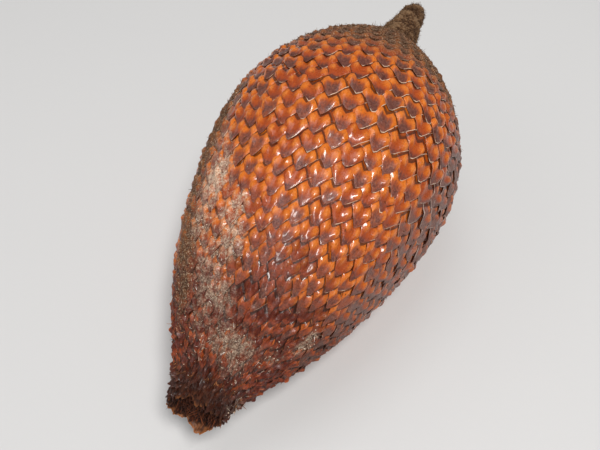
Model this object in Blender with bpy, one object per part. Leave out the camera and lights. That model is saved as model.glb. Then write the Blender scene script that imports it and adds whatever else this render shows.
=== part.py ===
"""A snake fruit (salak) lying on its side.

One grown fruit: a teardrop body covered in rows of overlapping scales whose free tips
point to the narrow end, closed at the wide end by a dry, blunt beak.  The narrow end
keeps a torn stub of the stalk and, under it, one papery scrap of the calyx.

Frame: metres, +Z up.  The origin is the middle of the small flat spot that the fruit
rests on.  +X runs along the fruit towards the tip of the beak.
"""

import math
import random

import bmesh
import bpy
from mathutils import Vector

MM = 0.001

# ------------------------------------------------------------- driving sizes (mm)
# Outside radius of the fruit at stations measured from the torn narrow end.
OUTLINE = [
    (0.0, 4.0), (5.0, 5.4), (12.0, 9.6), (20.0, 13.6), (30.0, 17.0), (40.0, 19.4),
    (48.0, 20.0), (56.0, 18.7), (63.0, 15.5), (68.0, 11.9), (72.0, 8.5), (75.0, 5.9),
    (78.0, 4.2), (81.0, 3.4), (84.0, 2.7), (88.0, 2.0), (89.2, 1.0),
]
# Sideways sway of the middle line, by station.
SWAY = [(0.0, 2.4), (22.0, 1.0), (46.0, -0.4), (70.0, -0.3), (89.0, -2.0)]

STALK_FACE = 3.2                # station where the fruit ends and its torn stub begins
BEAK_TIP = 89.2
REST_AT = 45.0                  # station over the middle of the flat spot
REST_DEPTH = 0.9                # how much of the underside the flat spot takes away
TILT = math.radians(2.6)        # the narrow end lies a little lower than the beak
WIDER = 0.02                    # the girth is a little wider than it is high
CORNERS = 0.012                 # faint three-sided swell of a fruit grown in a bunch
CORNERS_AT = 0.6                # how far round the fruit the swell is turned
GAP = 0.3                       # clearance between pieces that touch

SCALES_PER_RING = 21            # every other ring is turned by half a scale
SCALE_TURN = math.radians(-0.28)   # spiral of the scale columns, for each millimetre
SCALE_SHORTEST = 1.5            # scale length is this plus a share of the local radius
SCALE_SHARE = 0.085
BELLY_END = 44.0                # scales grow shorter again past this station
SHORTENING = 0.3                # share of the length lost by the last of them
SHORTENING_OVER = 30.0
SCALE_RISE = 0.17               # height of a free tip as a share of the scale's length
FIRST_SCALES = 4.6              # station of the first ring of scales
LAST_SCALES = 73.0              # no ring of scales starts past this station
BEAK_RINGS = 7
BEAK_CROWDING = 0.8             # below 1 the rings of the beak lie closer at its tip
BEAK_SINK = 0.1                 # the felt of the beak stands this much above the solid
BEAK_CROWN = 0.3                # bulge of the very tip
END_SINK = 0.4                  # the last scales overhang the end face by this much
CUTTER_SIZE = 60.0              # block that takes the flat spot off the underside

STUB_SIDES = 24
STUB_RAGGED = 0.5               # how far the torn rim strays along the stalk
STUB_FLARE = 0.2                # how much wider a tear makes the rim, for each millimetre
STUB_FOOT_RADIUS = 4.5
STUB_RIM = (0.9, 4.2)           # station and radius
STUB_LIP = (1.1, 3.5)
STUB_HOLLOW = (2.1, 2.0)
STUB_BOTTOM = 2.4               # station of the deepest point of the hollow

SCRAP_SPAN = (math.radians(-122.0), math.radians(-18.0))
SCRAP_STATIONS = (2.7, -0.6)    # from the fruit's end face to the free point
SCRAP_RADIUS = 4.8              # inner radius where the scrap leaves the fruit
SCRAP_CLOSING = 0.4             # how much nearer the stalk its free edge lies
SCRAP_THICKNESS = 0.45
SCRAP_COLUMNS = 12
SCRAP_ROWS = 5
SCRAP_SHOULDERS = (0.04, 0.96)  # part of a half wave that shapes the free edge
SCRAP_SKEW = 0.6                # below 1 the point of the scrap lies nearer its lower side


# ------------------------------------------------------------- the fruit's surface
def smooth_through(points, at):
    """Value at a station on the smooth curve through (station, value) points."""
    last = len(points) - 1
    k = 0
    while k < last - 1 and at > points[k + 1][0]:
        k += 1
    (x0, y0), (x1, y1) = points[k], points[k + 1]

    def slope(i):
        a = max(i - 1, 0)
        b = min(i + 1, last)
        return (points[b][1] - points[a][1]) / (points[b][0] - points[a][0])

    width = x1 - x0
    t = (at - x0) / width
    near = (2 * t**3 - 3 * t**2 + 1) * y0 + (t**3 - 2 * t**2 + t) * width * slope(k)
    far = (3 * t**2 - 2 * t**3) * y1 + (t**3 - t**2) * width * slope(k + 1)
    return near + far


def girth(angle):
    """Radius factor around the fruit; the angle runs from +Y towards +Z."""
    return 1 + WIDER * math.cos(2 * angle) + CORNERS * math.cos(3 * angle + CORNERS_AT)


def middle_line(station):
    """Point on the middle line of the fruit, in millimetres."""
    underside = smooth_through(OUTLINE, REST_AT) * girth(-math.pi / 2)
    height = underside - REST_DEPTH + (station - REST_AT) * math.tan(TILT)
    sway = smooth_through(SWAY, station) - smooth_through(SWAY, REST_AT)
    return Vector((station - REST_AT, sway, height))


def around(station, angle, radius):
    """Point at a radius around the middle line, in metres."""
    spoke = Vector((0.0, math.cos(angle), math.sin(angle)))
    return (middle_line(station) + spoke * radius) * MM


def on_skin(station, angle, sink=0.0):
    """Point of the skin, sunk by a depth below the outline, in metres."""
    return around(station, angle, smooth_through(OUTLINE, station) * girth(angle) - sink)


# ------------------------------------------------------------- mesh helpers
def add_object(name, bm, colour, roughness):
    """Turn a bmesh into a named object with its own material."""
    bmesh.ops.recalc_face_normals(bm, faces=bm.faces)
    mesh = bpy.data.meshes.new(name)
    bm.to_mesh(mesh)
    bm.free()
    material = bpy.data.materials.new(name + "_finish")
    material.use_nodes = True
    shader = material.node_tree.nodes["Principled BSDF"]
    shader.inputs["Base Color"].default_value = (*colour, 1.0)
    shader.inputs["Roughness"].default_value = roughness
    shader.inputs["Metallic"].default_value = 0.0
    mesh.materials.append(material)
    obj = bpy.data.objects.new(name, mesh)
    bpy.context.collection.objects.link(obj)
    return obj


def add_ring(bm, points):
    return [bm.verts.new(p) for p in points]


def bridge(bm, ring_a, ring_b):
    """Band of faces between two rings with the same number of corners."""
    count = len(ring_a)
    for i in range(count):
        j = (i + 1) % count
        bm.faces.new((ring_a[i], ring_a[j], ring_b[j], ring_b[i]))


def close_with_point(bm, ring, point):
    """Fan of faces from a ring to one point."""
    pole = bm.verts.new(point)
    for i, vert in enumerate(ring):
        bm.faces.new((vert, ring[(i + 1) % len(ring)], pole))


# ------------------------------------------------------------- fruit
def scale_length(station):
    """Length of a scale along its column: longest at the belly, short at both ends."""
    past_belly = min(max((station - BELLY_END) / SHORTENING_OVER, 0.0), 1.0)
    at_radius = SCALE_SHORTEST + SCALE_SHARE * smooth_through(OUTLINE, station)
    return at_radius * (1 - SHORTENING * past_belly)


def scale_stations():
    """Stations of the rings of scales, half a scale apart along the skin."""
    stations = [FIRST_SCALES]
    while stations[-1] < LAST_SCALES:
        here = stations[-1]
        climb = smooth_through(OUTLINE, here + 0.5) - smooth_through(OUTLINE, here - 0.5)
        stations.append(here + 0.5 * scale_length(here) / math.hypot(1.0, climb))
    return stations


def corner_angles(station, half_turned):
    """Angles of the corners on one ring, where neighbouring scales meet."""
    step = 2 * math.pi / SCALES_PER_RING
    start = 0.5 * step * half_turned + SCALE_TURN * station
    return [start + step * j for j in range(SCALES_PER_RING)]


def add_scales(bm, stations):
    """The scaled skin, open at both ends; returns its first and its last ring.

    A corner of the lattice carries three points, one above the other: the free tip of
    one scale, the side corners of its two neighbours, and the back corner of the scale
    that the tip lies on.  The tip's two front edges stand up as low walls."""
    count = SCALES_PER_RING
    last = len(stations) - 1
    tips, sides, backs = [], [], []
    for i, station in enumerate(stations):
        rise = SCALE_RISE * scale_length(station)
        angles = corner_angles(station, i % 2)
        sides.append(add_ring(bm, [on_skin(station, a, rise / 2) for a in angles]))
        tips.append(add_ring(bm, [on_skin(station, a) for a in angles]) if i < last else None)
        backs.append(add_ring(bm, [on_skin(station, a, rise) for a in angles]) if i else None)

    for i in range(last + 1):
        for j in range(count):
            k = (j + 1) % count
            ahead = k if i % 2 else j
            outline = [sides[i][j], sides[i][k]]
            if i < last:
                outline.append(backs[i + 1][ahead])
            if i > 0:
                tip = tips[i - 1][ahead]
                foot = sides[i - 1][ahead]
                outline.insert(1, tip)
                bm.faces.new((sides[i][j], backs[i][j], foot, tip))
                bm.faces.new((tip, foot, backs[i][k], sides[i][k]))
            bm.faces.new(outline)
    return sides[0], sides[last]


def make_fruit():
    """Body and beak as one closed skin, cut flat where the fruit rests."""
    bm = bmesh.new()
    stations = scale_stations()
    first, last = add_scales(bm, stations)

    end_angles = corner_angles(STALK_FACE, 0)
    end_face = add_ring(bm, [on_skin(STALK_FACE, a, END_SINK) for a in end_angles])
    bridge(bm, first, end_face)
    bm.faces.new(end_face)

    ring = last
    half_turned = (len(stations) - 1) % 2
    for n in range(1, BEAK_RINGS + 1):
        way = n / BEAK_RINGS
        station = stations[-1] + (BEAK_TIP - stations[-1]) * way**BEAK_CROWDING
        angles = corner_angles(stations[-1], half_turned)
        beyond = add_ring(bm, [on_skin(station, a, BEAK_SINK) for a in angles])
        bridge(bm, ring, beyond)
        ring = beyond
    close_with_point(bm, ring, around(BEAK_TIP + BEAK_CROWN, 0.0, 0.0))
    fruit = add_object("fruit", bm, (0.42, 0.11, 0.03), 0.4)

    block = bmesh.new()
    bmesh.ops.create_cube(block, size=CUTTER_SIZE * MM)
    bmesh.ops.translate(block, verts=block.verts, vec=(0.0, 0.0, -CUTTER_SIZE / 2 * MM))
    cutter = add_object("rest_cutter", block, (0.5, 0.5, 0.5), 0.5)
    cutter.hide_render = True
    cutter.display_type = "WIRE"
    cut = fruit.modifiers.new("flat_spot", "BOOLEAN")
    cut.operation = "DIFFERENCE"
    cut.object = cutter


# ------------------------------------------------------------- stalk stub
def make_stalk_stub():
    """Torn stub of the stalk: a short ragged cup that closes the narrow end."""
    bm = bmesh.new()
    rng = random.Random(7)
    angles = [2 * math.pi * j / STUB_SIDES for j in range(STUB_SIDES)]
    front = STALK_FACE - GAP
    tears = [rng.uniform(-STUB_RAGGED, STUB_RAGGED) for _ in angles]
    foot = add_ring(bm, [around(front, a, STUB_FOOT_RADIUS) for a in angles])
    rim = add_ring(bm, [around(STUB_RIM[0] + t, a, STUB_RIM[1] + STUB_FLARE * t)
                        for a, t in zip(angles, tears)])
    lip = add_ring(bm, [around(STUB_LIP[0] + t, a, STUB_LIP[1])
                        for a, t in zip(angles, tears)])
    hollow = add_ring(bm, [around(STUB_HOLLOW[0], a, STUB_HOLLOW[1]) for a in angles])
    bm.faces.new(foot)
    bridge(bm, foot, rim)
    bridge(bm, rim, lip)
    bridge(bm, lip, hollow)
    close_with_point(bm, hollow, around(STUB_BOTTOM, 0.0, 0.0))
    add_object("stalk_stub", bm, (0.07, 0.03, 0.02), 0.85)


# ------------------------------------------------------------- calyx scrap
def make_calyx_scrap():
    """Papery scrap of the calyx that hugs the stub from below and ends in a point."""
    bm = bmesh.new()
    columns, rows = SCRAP_COLUMNS, SCRAP_ROWS
    start, end = SCRAP_SPAN
    low, high = SCRAP_SHOULDERS
    face, point = SCRAP_STATIONS
    outer, inner = [], []
    for c in range(columns + 1):
        across = c / columns
        angle = start + (end - start) * across
        reach = math.sin(math.pi * (low + (high - low) * across**SCRAP_SKEW)) ** SCRAP_SKEW
        outer_column, inner_column = [], []
        for r in range(rows + 1):
            along = r / rows
            station = face + (point - face) * along * reach
            radius = SCRAP_RADIUS - SCRAP_CLOSING * along
            outer_column.append(bm.verts.new(around(station, angle, radius + SCRAP_THICKNESS)))
            inner_column.append(bm.verts.new(around(station, angle, radius)))
        outer.append(outer_column)
        inner.append(inner_column)
    for c in range(columns):
        for r in range(rows):
            for side in (outer, inner):
                bm.faces.new((side[c][r], side[c + 1][r], side[c + 1][r + 1], side[c][r + 1]))
        for r in (0, rows):
            bm.faces.new((outer[c][r], outer[c + 1][r], inner[c + 1][r], inner[c][r]))
    for c in (0, columns):
        for r in range(rows):
            bm.faces.new((outer[c][r], outer[c][r + 1], inner[c][r + 1], inner[c][r]))
    add_object("calyx_scrap", bm, (0.33, 0.15, 0.05), 0.7)


def main():
    for obj in list(bpy.data.objects):
        bpy.data.objects.remove(obj)
    make_fruit()
    make_stalk_stub()
    make_calyx_scrap()


main()
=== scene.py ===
"""Finished look of a snake fruit (salak) lying on its side.

A dark under-skin carries rows of separate overlapping scales whose free tips point to the
narrow end.  The wide end closes in a blunt felted beak.  The narrow end keeps the torn,
fibrous cup of the stalk with one papery scrap of the calyx under it.

Own sizes are in millimetres and become metres when a mesh is made.  Stations run along the
fruit from the torn end to the beak; angles run round it from +Y towards +Z.
"""

import math

import bpy
import numpy as np
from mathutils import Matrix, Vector, noise


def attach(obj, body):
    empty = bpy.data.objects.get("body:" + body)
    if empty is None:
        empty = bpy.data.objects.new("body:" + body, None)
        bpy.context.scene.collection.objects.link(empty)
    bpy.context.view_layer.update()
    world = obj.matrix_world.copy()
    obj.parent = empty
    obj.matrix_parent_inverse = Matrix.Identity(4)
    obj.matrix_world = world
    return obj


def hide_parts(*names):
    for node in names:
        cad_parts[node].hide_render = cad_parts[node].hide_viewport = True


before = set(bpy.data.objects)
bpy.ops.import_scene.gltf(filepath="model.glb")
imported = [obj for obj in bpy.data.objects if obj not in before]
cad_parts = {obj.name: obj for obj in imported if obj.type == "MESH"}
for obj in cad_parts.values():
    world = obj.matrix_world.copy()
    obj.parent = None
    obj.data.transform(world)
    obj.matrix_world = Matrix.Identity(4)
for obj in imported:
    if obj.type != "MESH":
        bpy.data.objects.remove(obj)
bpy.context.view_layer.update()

MM = 0.001

# ---- the fruit's shape (mm)
OUTLINE = np.array([
    (0.0, 4.0), (5.0, 5.4), (12.0, 9.6), (20.0, 13.6), (30.0, 17.0), (40.0, 19.4),
    (48.0, 20.0), (56.0, 18.7), (63.0, 15.5), (68.0, 11.9), (72.0, 8.5), (75.0, 5.9),
    (78.0, 4.2), (81.0, 3.4), (84.0, 2.7), (88.0, 2.0), (89.2, 1.0),
])
SWAY = np.array([(0.0, 2.4), (22.0, 1.0), (46.0, -0.4), (70.0, -0.3), (89.0, -2.0)])
BEAK_TIP = 89.2
REST_AT = 45.0
REST_DEPTH = 0.9
TILT = math.radians(2.6)
WIDER = 0.02
CORNERS = 0.012
CORNERS_AT = 0.6
PRESSED = 0.6                   # height below which the underside is pressed flat

# ---- the scales
SCALES_PER_RING = 21
HALF_PITCH = math.pi / SCALES_PER_RING
SCALE_TURN = math.radians(-0.28)
SCALE_SHORTEST = 1.5
SCALE_SHARE = 0.085
BELLY_END = 44.0                # scales grow shorter again past this station
SHORTENING = 0.3
SHORTENING_OVER = 30.0
FIRST_SCALES = 1.5
LAST_SCALES = 76.0
STRIPS = 5                      # lengthwise strips that the scales are made in

PLATE_COLUMNS = 12
PLATE_ROWS = 12
PLATE_HALF_WIDTH = 0.94         # of half the distance to the next scale in the ring

# Reaches, depths and heights from here to the lumps are shares of a scale's length.
TIP_REACH = 1.30
BACK_REACH = 0.72
PLATE_THICKNESS = 0.052
BED = 0.150                     # how deep the under-skin lies below the outline
LOBE_HEIGHT = 0.145
PLATE_RISE = 0.086              # slope of a plate against the skin under it
TIP_BLUNT = 0.15                # rounding of a scale's tip
TIP_SHAPE = 1.30                # above 1 the front edges are hollow
BACK_CURVE = 0.74               # how far the sides of the back edge come forward
EDGE_RIPPLE = 0.050             # waves of the front edge
FINE_RIPPLE = 0.026
LOBE_AT = (0.37, 0.20)          # top of a lobe: aside, along
LOBE_SPREAD = (0.19, 0.27)
GROOVE_DEPTH = 0.024            # groove between the two lobes
GROOVE_WIDTH = 0.13
FRILL_HEIGHT = 0.070            # curl of the rims on grey flanks
FRILL_DEPTH = 0.16
ROLL_OFF = 0.030                # how much the front edge bends down
ROLL_OFF_DEPTH = 0.09
SIDE_DROP = 0.035
LUMPS = 0.044
FINE_LUMPS = 0.024
NARROW_LUMPS = 0.09

NARROW_END = (20.0, 6.0)        # stations between which the scales grow rough
TORN_END = (5.5, 2.5)           # stations between which their tips are broken off
SUNK_END = (4.5, 0.0)           # stations between which they sink towards the stalk
SUNK_BY = 0.35

# ---- the beak and its felt
BEAK_FOOT = 70.5
BEAK_FREE = (73.0, 77.0)        # stations between which it grows out from under the scales
BEAK_TUCK = 0.45                # how deep its foot lies under the scales
BEAK_SLIM = 1.2                 # length over which its tufts shorten at the very tip
SHOULDER_FELT = (52.0, 61.0)    # stations between which the felt closes up


# ---- surface of the fruit
def smooth_through(points, at):
    """Values at stations on the smooth curve through (station, value) points."""
    x, y = points[:, 0], points[:, 1]
    last = len(points) - 1
    at = np.asarray(at, dtype=float)
    k = np.clip(np.searchsorted(x, at) - 1, 0, last - 1)
    before = np.maximum(np.arange(last + 1) - 1, 0)
    after = np.minimum(np.arange(last + 1) + 1, last)
    slope = (y[after] - y[before]) / (x[after] - x[before])
    width = x[k + 1] - x[k]
    t = (at - x[k]) / width
    near = (2 * t**3 - 3 * t**2 + 1) * y[k] + (t**3 - 2 * t**2 + t) * width * slope[k]
    far = (3 * t**2 - 2 * t**3) * y[k + 1] + (t**3 - t**2) * width * slope[k + 1]
    return near + far


def fade(value, start, end):
    """Share from 0 at the start to 1 at the end; the end may be the smaller one."""
    return np.clip((value - start) / (end - start), 0.0, 1.0)


def girth(angle):
    return 1 + WIDER * np.cos(2 * angle) + CORNERS * np.cos(3 * angle + CORNERS_AT)


def press_flat(points):
    """Soft limit that keeps every point above the table and keeps layers in order."""
    low = points[..., 2] < PRESSED
    points[..., 2] = np.where(
        low, PRESSED * np.exp((np.minimum(points[..., 2], PRESSED) - PRESSED) / PRESSED),
        points[..., 2])
    return points


def around(station, angle, radius):
    """Points at a radius round the middle line, in millimetres."""
    station, angle, radius = np.broadcast_arrays(station, angle, radius)
    underside = smooth_through(OUTLINE, REST_AT) * girth(-math.pi / 2)
    height = underside - REST_DEPTH + (station - REST_AT) * math.tan(TILT)
    sway = smooth_through(SWAY, station) - smooth_through(SWAY, REST_AT)
    return np.stack([station - REST_AT, sway + radius * np.cos(angle),
                     height + radius * np.sin(angle)], axis=-1)


def radius_slope(station):
    step = 0.05
    return (smooth_through(OUTLINE, station + step)
            - smooth_through(OUTLINE, station - step)) / (2 * step)


def on_skin(station, angle, height=0.0):
    """Points at a height above the outline, square to it, in millimetres."""
    slope = radius_slope(station)
    length = np.sqrt(1 + slope**2)
    radius = smooth_through(OUTLINE, station) * girth(angle) + height / length
    points = around(station, angle, radius)
    points[..., 0] -= slope * height / length
    return points


def outward(station, angle):
    """Unit vectors square to the skin."""
    station, angle = np.broadcast_arrays(station, angle)
    slope = radius_slope(station)
    square = np.stack([-slope, np.cos(angle), np.sin(angle)], axis=-1)
    return square / np.linalg.norm(square, axis=-1, keepdims=True)


WALK_STATIONS = np.linspace(-1.5, BEAK_TIP, 1800)
WALK_LENGTHS = np.concatenate([[0.0], np.cumsum(np.hypot(
    np.diff(WALK_STATIONS), np.diff(smooth_through(OUTLINE, WALK_STATIONS))))])


def walk(station, distance):
    """Station reached by going this far over the skin towards the narrow end."""
    start = np.interp(station, WALK_STATIONS, WALK_LENGTHS)
    return np.interp(start - distance, WALK_LENGTHS, WALK_STATIONS)


def scale_length(station):
    past_belly = fade(station, BELLY_END, BELLY_END + SHORTENING_OVER)
    at_radius = SCALE_SHORTEST + SCALE_SHARE * smooth_through(OUTLINE, station)
    return at_radius * (1 - SHORTENING * past_belly)


def scale_stations():
    """Stations of the rings of scales, half a scale apart over the skin."""
    stations = [FIRST_SCALES]
    while stations[-1] < LAST_SCALES:
        here = stations[-1]
        climb = smooth_through(OUTLINE, here + 0.5) - smooth_through(OUTLINE, here - 0.5)
        stations.append(here + 0.5 * float(scale_length(here)) / math.hypot(1.0, climb))
    return stations


def bed_depth(station):
    return BED * scale_length(station)


def wander(points, size, seed):
    """Smooth noise from -1 to 1 at points, with swells of about this size."""
    shift = Vector((seed * 7.3, seed * 3.1, seed * 5.7))
    flat = points.reshape(-1, 3) / size
    values = [noise.noise(Vector(p) + shift) for p in flat]
    return np.array(values).reshape(points.shape[:-1])


# ---- patches on the skin
# station, angle (degrees), reach along, reach round (degrees), strength
DUST_PATCHES = [
    (29.0, 48.0, 4.5, 13.0, 0.9), (24.5, 70.0, 3.0, 10.0, 0.65), (19.5, 74.0, 3.0, 12.0, 0.7),
    (13.0, 80.0, 2.4, 17.0, 0.65), (8.6, 106.0, 2.4, 26.0, 0.85), (14.0, 163.0, 2.2, 9.0, 0.95),
    (21.5, 46.0, 3.4, 12.0, 0.65), (16.0, 60.0, 3.0, 14.0, 0.6), (36.0, 44.0, 3.0, 10.0, 0.45),
    (10.0, 62.0, 5.0, 22.0, 0.45), (6.0, 122.0, 2.4, 26.0, 0.40), (10.0, 150.0, 1.8, 14.0, 0.5),
    (24.0, -30.0, 5.0, 18.0, 0.6), (40.0, -110.0, 4.0, 12.0, 0.5), (56.0, -40.0, 4.0, 12.0, 0.4),
    (12.0, -95.0, 3.0, 20.0, 0.7), (3.4, 178.0, 2.2, 22.0, 0.5), (58.0, -170.0, 3.0, 9.0, 0.4),
]
# skin that is rubbed and hairy
HAIRY_FLANKS = [(38.0, 27.0, 20.0, 15.0, 0.95), (17.0, 38.0, 9.0, 16.0, 0.7),
                (34.0, -150.0, 14.0, 10.0, 0.4)]
# scale rims that curl up and are painted grey: the tips' bloom and a painted sheen of the grazing
# view
GREY_FLANKS = [(41.0, 180.0, 20.0, 30.0, 0.97), (20.0, 184.0, 10.0, 18.0, 0.85),
               (46.0, -20.0, 10.0, 16.0, 0.6), (24.0, -70.0, 12.0, 18.0, 0.5)]
# lobes that have turned plum
PLUM_PATCHES = [(17.0, 108.0, 3.6, 17.0, 0.85), (22.0, 96.0, 2.6, 11.0, 0.6),
                (19.0, -20.0, 4.0, 20.0, 0.7), (34.0, -60.0, 4.0, 16.0, 0.5)]
# scale rims that are chipped pale
CHIPPED_RIMS = [(48.0, 125.0, 12.0, 35.0, 0.95), (36.0, 145.0, 8.0, 25.0, 0.6),
                (40.0, -80.0, 14.0, 30.0, 0.6), (40.0, 20.0, 10.0, 20.0, 0.5)]
PATCH_MARKS = {"dust": DUST_PATCHES, "hairy": HAIRY_FLANKS, "greyed": GREY_FLANKS,
               "chipped": CHIPPED_RIMS, "plum": PLUM_PATCHES}


def patches_at(patches, station, angle):
    """Share of cover, from 0 to 1, under soft patches that overlap."""
    clean = np.ones(np.broadcast(station, angle).shape)
    for at, turn, along, across, strength in patches:
        off = np.angle(np.exp(1j * (angle - math.radians(turn)))) / math.radians(across)
        clean *= 1 - strength * np.exp(-((station - at) / along)**2 - off**2)
    return 1 - clean


# ---- shader tools
class Tap:
    """A shader socket that takes part in sums like a number."""

    def __init__(self, finish, socket):
        self.finish = finish
        self.socket = socket

    def sum_of(self, operation, first, second=0.0):
        return self.finish.node("ShaderNodeMath", {"operation": operation},
                                {0: first, 1: second})

    def __add__(self, other):
        return self.sum_of("ADD", self, other)

    __radd__ = __add__

    def __sub__(self, other):
        return self.sum_of("SUBTRACT", self, other)

    def __rsub__(self, other):
        return self.sum_of("SUBTRACT", other, self)

    def __mul__(self, other):
        return self.sum_of("MULTIPLY", self, other)

    __rmul__ = __mul__

    def __abs__(self):
        return self.sum_of("ABSOLUTE", self)

    def at_most(self, other):
        return self.sum_of("MINIMUM", self, other)

    def at_least(self, other):
        return self.sum_of("MAXIMUM", self, other)


# Sockets of the Mix node for colours go by place: their names repeat for each data type.
MIX_SHARE = 0
MIX_FIRST = 6
MIX_SECOND = 7
MIX_RESULT = 2


class Finish:
    """A material and the nodes that make it."""

    def __init__(self, name):
        self.material = bpy.data.materials.new(name)
        self.material.use_nodes = True
        self.tree = self.material.node_tree
        self.tree.nodes.clear()

    def node(self, kind, settings, values, output=0):
        """Add a node: its settings come first, then the values or links of its sockets."""
        made = self.tree.nodes.new(kind)
        for name, setting in settings.items():
            setattr(made, name, setting)
        for name, value in values.items():
            if isinstance(value, Tap):
                self.tree.links.new(value.socket, made.inputs[name])
            else:
                made.inputs[name].default_value = value
        return Tap(self, made.outputs[output])

    def mark(self, name):
        """A value that the mesh carries at each of its points."""
        return self.node("ShaderNodeAttribute", {"attribute_name": name}, {}, "Fac")

    def place(self):
        return self.node("ShaderNodeTexCoord", {}, {}, "Object")

    def spots(self, size, detail=2.0, roughness=0.5, at=None, seed=0.0):
        """Noise from 0 to 1 whose spots are about this size in millimetres."""
        values = {"Vector": at or self.place(), "Scale": 1 / (size * MM) if at is None else 1.0,
                  "Detail": detail, "Roughness": roughness, "W": seed}
        return self.node("ShaderNodeTexNoise", {"noise_dimensions": "4D"}, values, "Fac")

    def along_the_scale(self, lengths, widths):
        """Place on a scale, stretched so that noise on it runs from its back to its tip."""
        values = {"X": self.mark("aside") * widths, "Y": self.mark("along") * lengths,
                  "Z": self.mark("luck") * 60.0}
        return self.node("ShaderNodeCombineXYZ", {}, values)

    def step(self, value, low, high, start=0.0, end=1.0):
        """Soft step from start to end while the value goes from low to high."""
        return self.node("ShaderNodeMapRange", {"interpolation_type": "SMOOTHSTEP"},
                         {"Value": value, "From Min": low, "From Max": high,
                          "To Min": start, "To Max": end})

    def mix(self, share, first, second):
        """Blend of two colours."""
        first, second = [c if isinstance(c, Tap) else (*c, 1.0) for c in (first, second)]
        return self.node("ShaderNodeMix", {"data_type": "RGBA"},
                         {MIX_SHARE: share, MIX_FIRST: first, MIX_SECOND: second}, MIX_RESULT)

    def bump(self, height, depth, strength=1.0):
        """Relief of this depth in millimetres."""
        return self.node("ShaderNodeBump", {}, {"Height": height, "Strength": strength,
                                                "Distance": depth * MM})

    def surface(self, values):
        """Close the material with its shader, whose sockets take these values."""
        shader = self.node("ShaderNodeBsdfPrincipled", {}, values)
        output = self.tree.nodes.new("ShaderNodeOutputMaterial")
        self.tree.links.new(shader.socket, output.inputs["Surface"])
        return self.material


# ---- finishes
AMBER = (0.64, 0.150, 0.009)
DEEP_AMBER = (0.36, 0.055, 0.006)
PALE_AMBER = (0.76, 0.25, 0.05)
TIP_ROSE = (0.30, 0.055, 0.020)
TIP_PLUM = (0.108, 0.032, 0.026)
TIP_BLOOM = (0.28, 0.128, 0.098)
TIP_DARK = (0.055, 0.016, 0.010)
PLUM_LOBE = (0.20, 0.042, 0.026)
TIP_GREY = (0.180, 0.112, 0.094)
RIM_GREY = (0.44, 0.33, 0.29)
GREYED_LOBE = (0.25, 0.060, 0.020)
RED_BROWN = (0.095, 0.014, 0.006)
RED_GLOW = (0.24, 0.040, 0.011)
DRY_BROWN = (0.060, 0.024, 0.015)
MARGIN_CREAM = (0.78, 0.56, 0.40)
SHADOW_BROWN = (0.030, 0.010, 0.006)
DUST_BEIGE = (0.80, 0.62, 0.46)
DUST_GREY = (0.42, 0.295, 0.21)
DUST_EARTH = (0.24, 0.18, 0.125)
FELT_BROWN = (0.125, 0.060, 0.026)
FELT_DARK = (0.050, 0.021, 0.009)
FELT_PALE = (0.215, 0.128, 0.068)
FELT_STRAW = (0.58, 0.44, 0.29)
PAPER_AMBER = (0.23, 0.080, 0.024)
PAPER_DARK = (0.075, 0.024, 0.010)
STALK_DARK = (0.022, 0.009, 0.006)
STALK_RED = (0.085, 0.026, 0.012)
HOLLOW_SHADE_BLACK = (0.004, 0.002, 0.002)
HOLLOW_SHADE_BROWN = (0.024, 0.008, 0.005)
SHRED_ROOT = (0.006, 0.003, 0.002)
SHRED_TIP = (0.050, 0.015, 0.009)
SHRED_RED = (0.24, 0.068, 0.026)
BRISTLE_TIP = (0.20, 0.085, 0.04)
BRISTLE_ODD = (0.40, 0.16, 0.06)
CRUMB_PALE = (0.80, 0.72, 0.62)
THREAD_PALE = (0.85, 0.78, 0.70)
FLOOR_PALE = (0.62, 0.618, 0.618)
FLOOR_MOTTLE = (0.57, 0.57, 0.575)


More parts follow.
